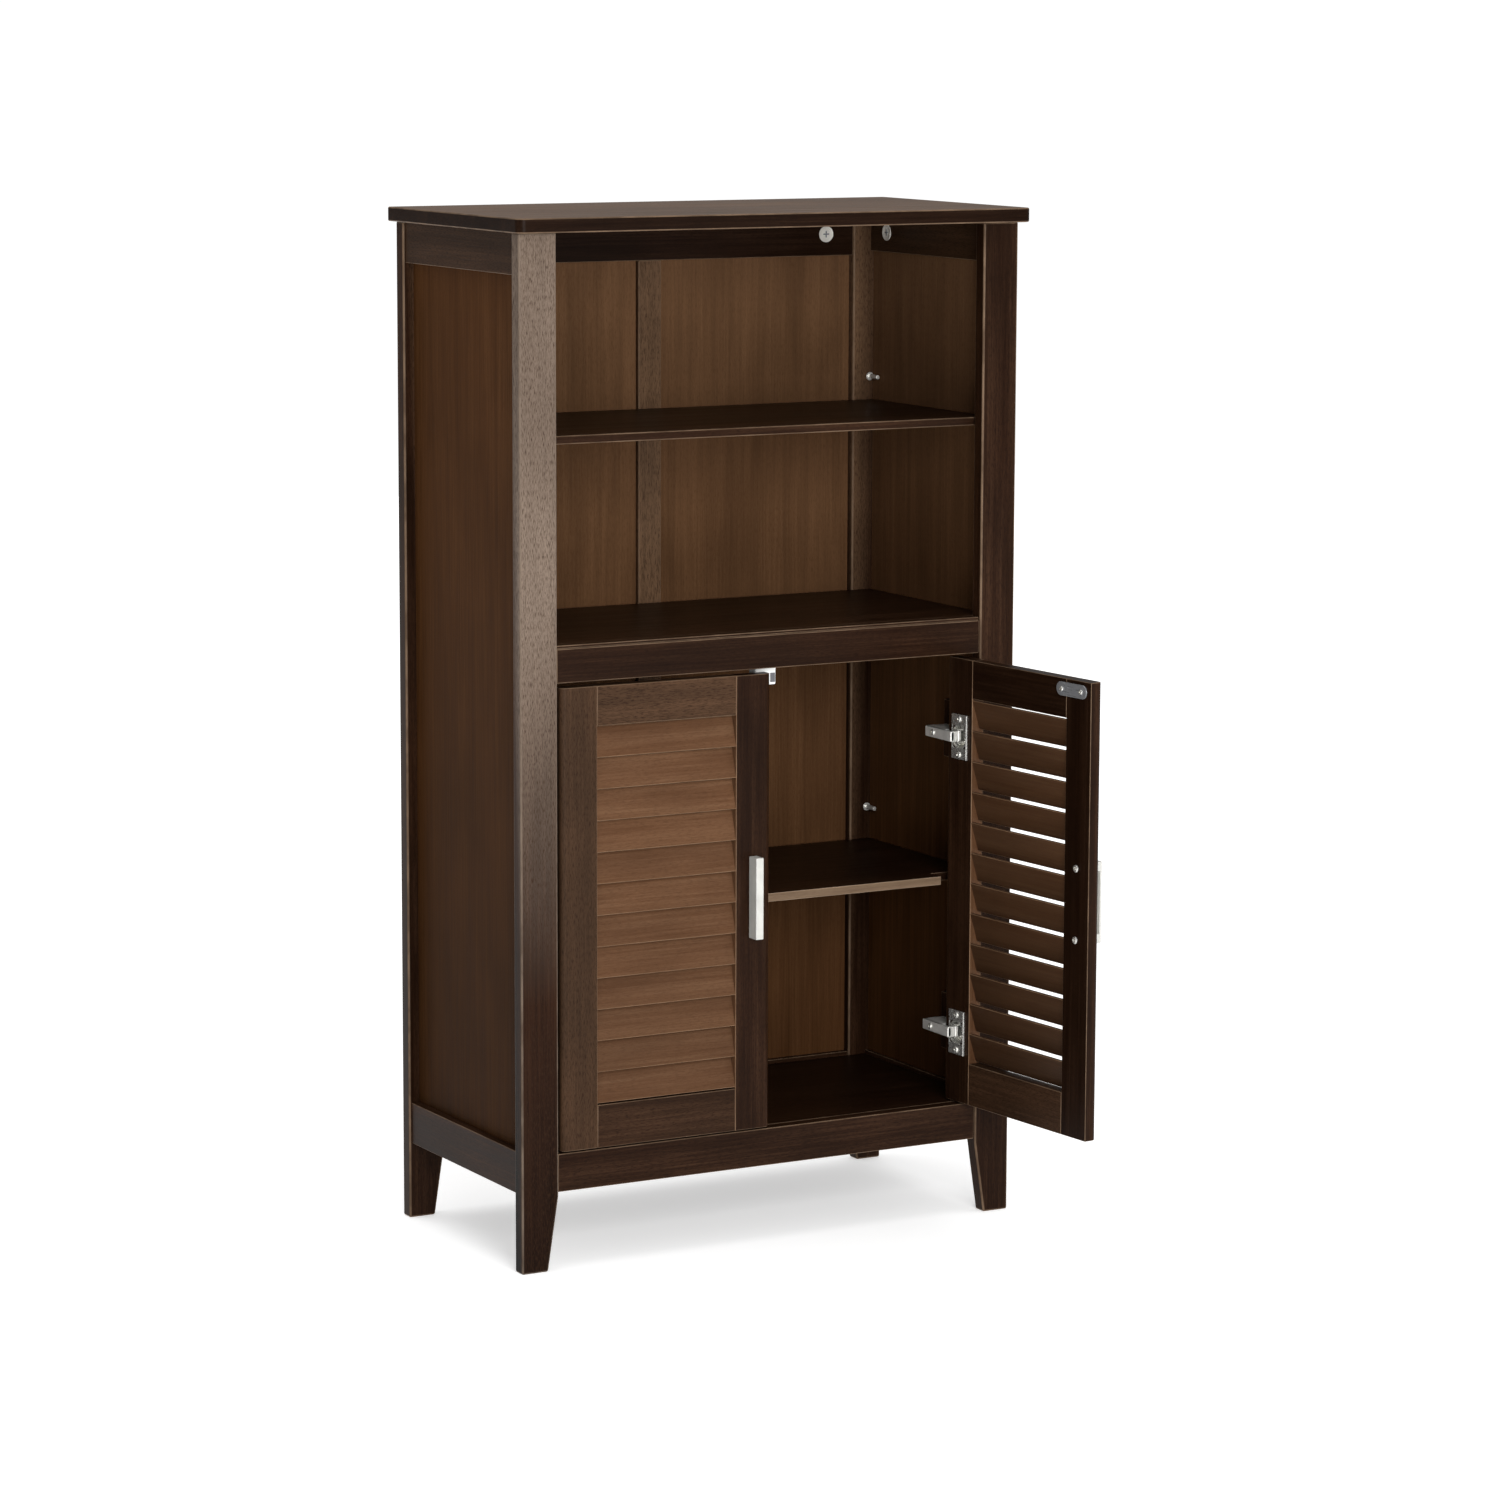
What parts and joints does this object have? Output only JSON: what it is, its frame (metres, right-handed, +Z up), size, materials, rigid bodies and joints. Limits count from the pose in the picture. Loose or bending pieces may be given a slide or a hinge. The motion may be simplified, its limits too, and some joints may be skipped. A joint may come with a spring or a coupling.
{
  "type": "shoe cabinet",
  "caption": "Tall wooden shoe cabinet on tapered feet, with an open shelf bay above and a cupboard below that is closed by louvred doors with bar handles.",
  "frame": {"origin": "on the floor, at the middle of the outline of the four feet", "axes": "+X to the right when facing the front, -Y out of the front where the doors are, +Z up"},
  "size_m": [0.6, 0.5068, 1.078],
  "materials": {
    "frame_wood": "dark walnut stain, satin lacquer",
    "panel_wood": "brown stain, thin lacquer",
    "louvre_wood": "tan brown stain, satin lacquer",
    "dowel_wood": "raw wood",
    "fitting_steel": "bright nickel plate",
    "strike_steel": "grey zinc plate",
    "handle_nickel": "brushed nickel",
    "catch_plastic": "white, smooth",
    "magnet": "dark grey, dull"
  },
  "bodies": {
    "cabinet": {"top_board": "frame_wood", "post_front_left": "frame_wood", "post_front_right": "frame_wood", "post_back_left": "frame_wood", "post_back_right": "frame_wood", "side_rail_top_left": "frame_wood", "side_rail_top_right": "frame_wood", "side_rail_bottom_left": "frame_wood", "side_rail_bottom_right": "frame_wood", "side_panel_left": "panel_wood", "side_panel_right": "panel_wood", "back_rail_top": "frame_wood", "back_rail_bottom": "frame_wood", "back_stile": "frame_wood", "back_panel_left": "panel_wood", "back_panel_right": "panel_wood", "front_rail_middle": "frame_wood", "front_rail_bottom": "frame_wood", "shelf_middle": "frame_wood", "shelf_bottom": "frame_wood", "shelf_upper": "frame_wood", "shelf_lower": "frame_wood", "shelf_pins": "fitting_steel", "keeper_pins": "fitting_steel", "cam_locks": "fitting_steel", "cam_bolts": "fitting_steel", "dowels": "dowel_wood", "catch_body": "catch_plastic", "catch_magnets": "magnet", "catch_screws": "fitting_steel", "hinge_blocks": "frame_wood", "hinge_plates": "fitting_steel", "hinge_arms": "fitting_steel", "hinge_arm_screws": "fitting_steel"},
    "door_left": {"door_left_stile_hinge": "frame_wood", "door_left_stile_free": "frame_wood", "door_left_rail_top": "frame_wood", "door_left_rail_bottom": "frame_wood", "door_left_slats": "louvre_wood", "door_left_hinge_cups": "fitting_steel", "door_left_hinge_pins": "fitting_steel", "door_left_cup_screws": "fitting_steel", "door_left_handle": "handle_nickel", "door_left_handle_screws": "fitting_steel", "door_left_strike": "strike_steel", "door_left_strike_screws": "fitting_steel"},
    "door_right": {"door_right_stile_hinge": "frame_wood", "door_right_stile_free": "frame_wood", "door_right_rail_top": "frame_wood", "door_right_rail_bottom": "frame_wood", "door_right_slats": "louvre_wood", "door_right_hinge_cups": "fitting_steel", "door_right_hinge_pins": "fitting_steel", "door_right_cup_screws": "fitting_steel", "door_right_handle": "handle_nickel", "door_right_handle_screws": "fitting_steel", "door_right_strike": "strike_steel", "door_right_strike_screws": "fitting_steel"}
  },
  "joints": [
    {"name": "door_left_hinge", "type": "hinge", "parent": "cabinet", "child": "door_left", "pos_m": [-0.2325, -0.1305, 0.36], "axis": [0, 0, -1], "range_deg": [0, 105]},
    {"name": "door_right_hinge", "type": "hinge", "parent": "cabinet", "child": "door_right", "pos_m": [0.2325, -0.1305, 0.36], "axis": [0, 0, 1], "range_deg": [-95, 10]}
  ]
}
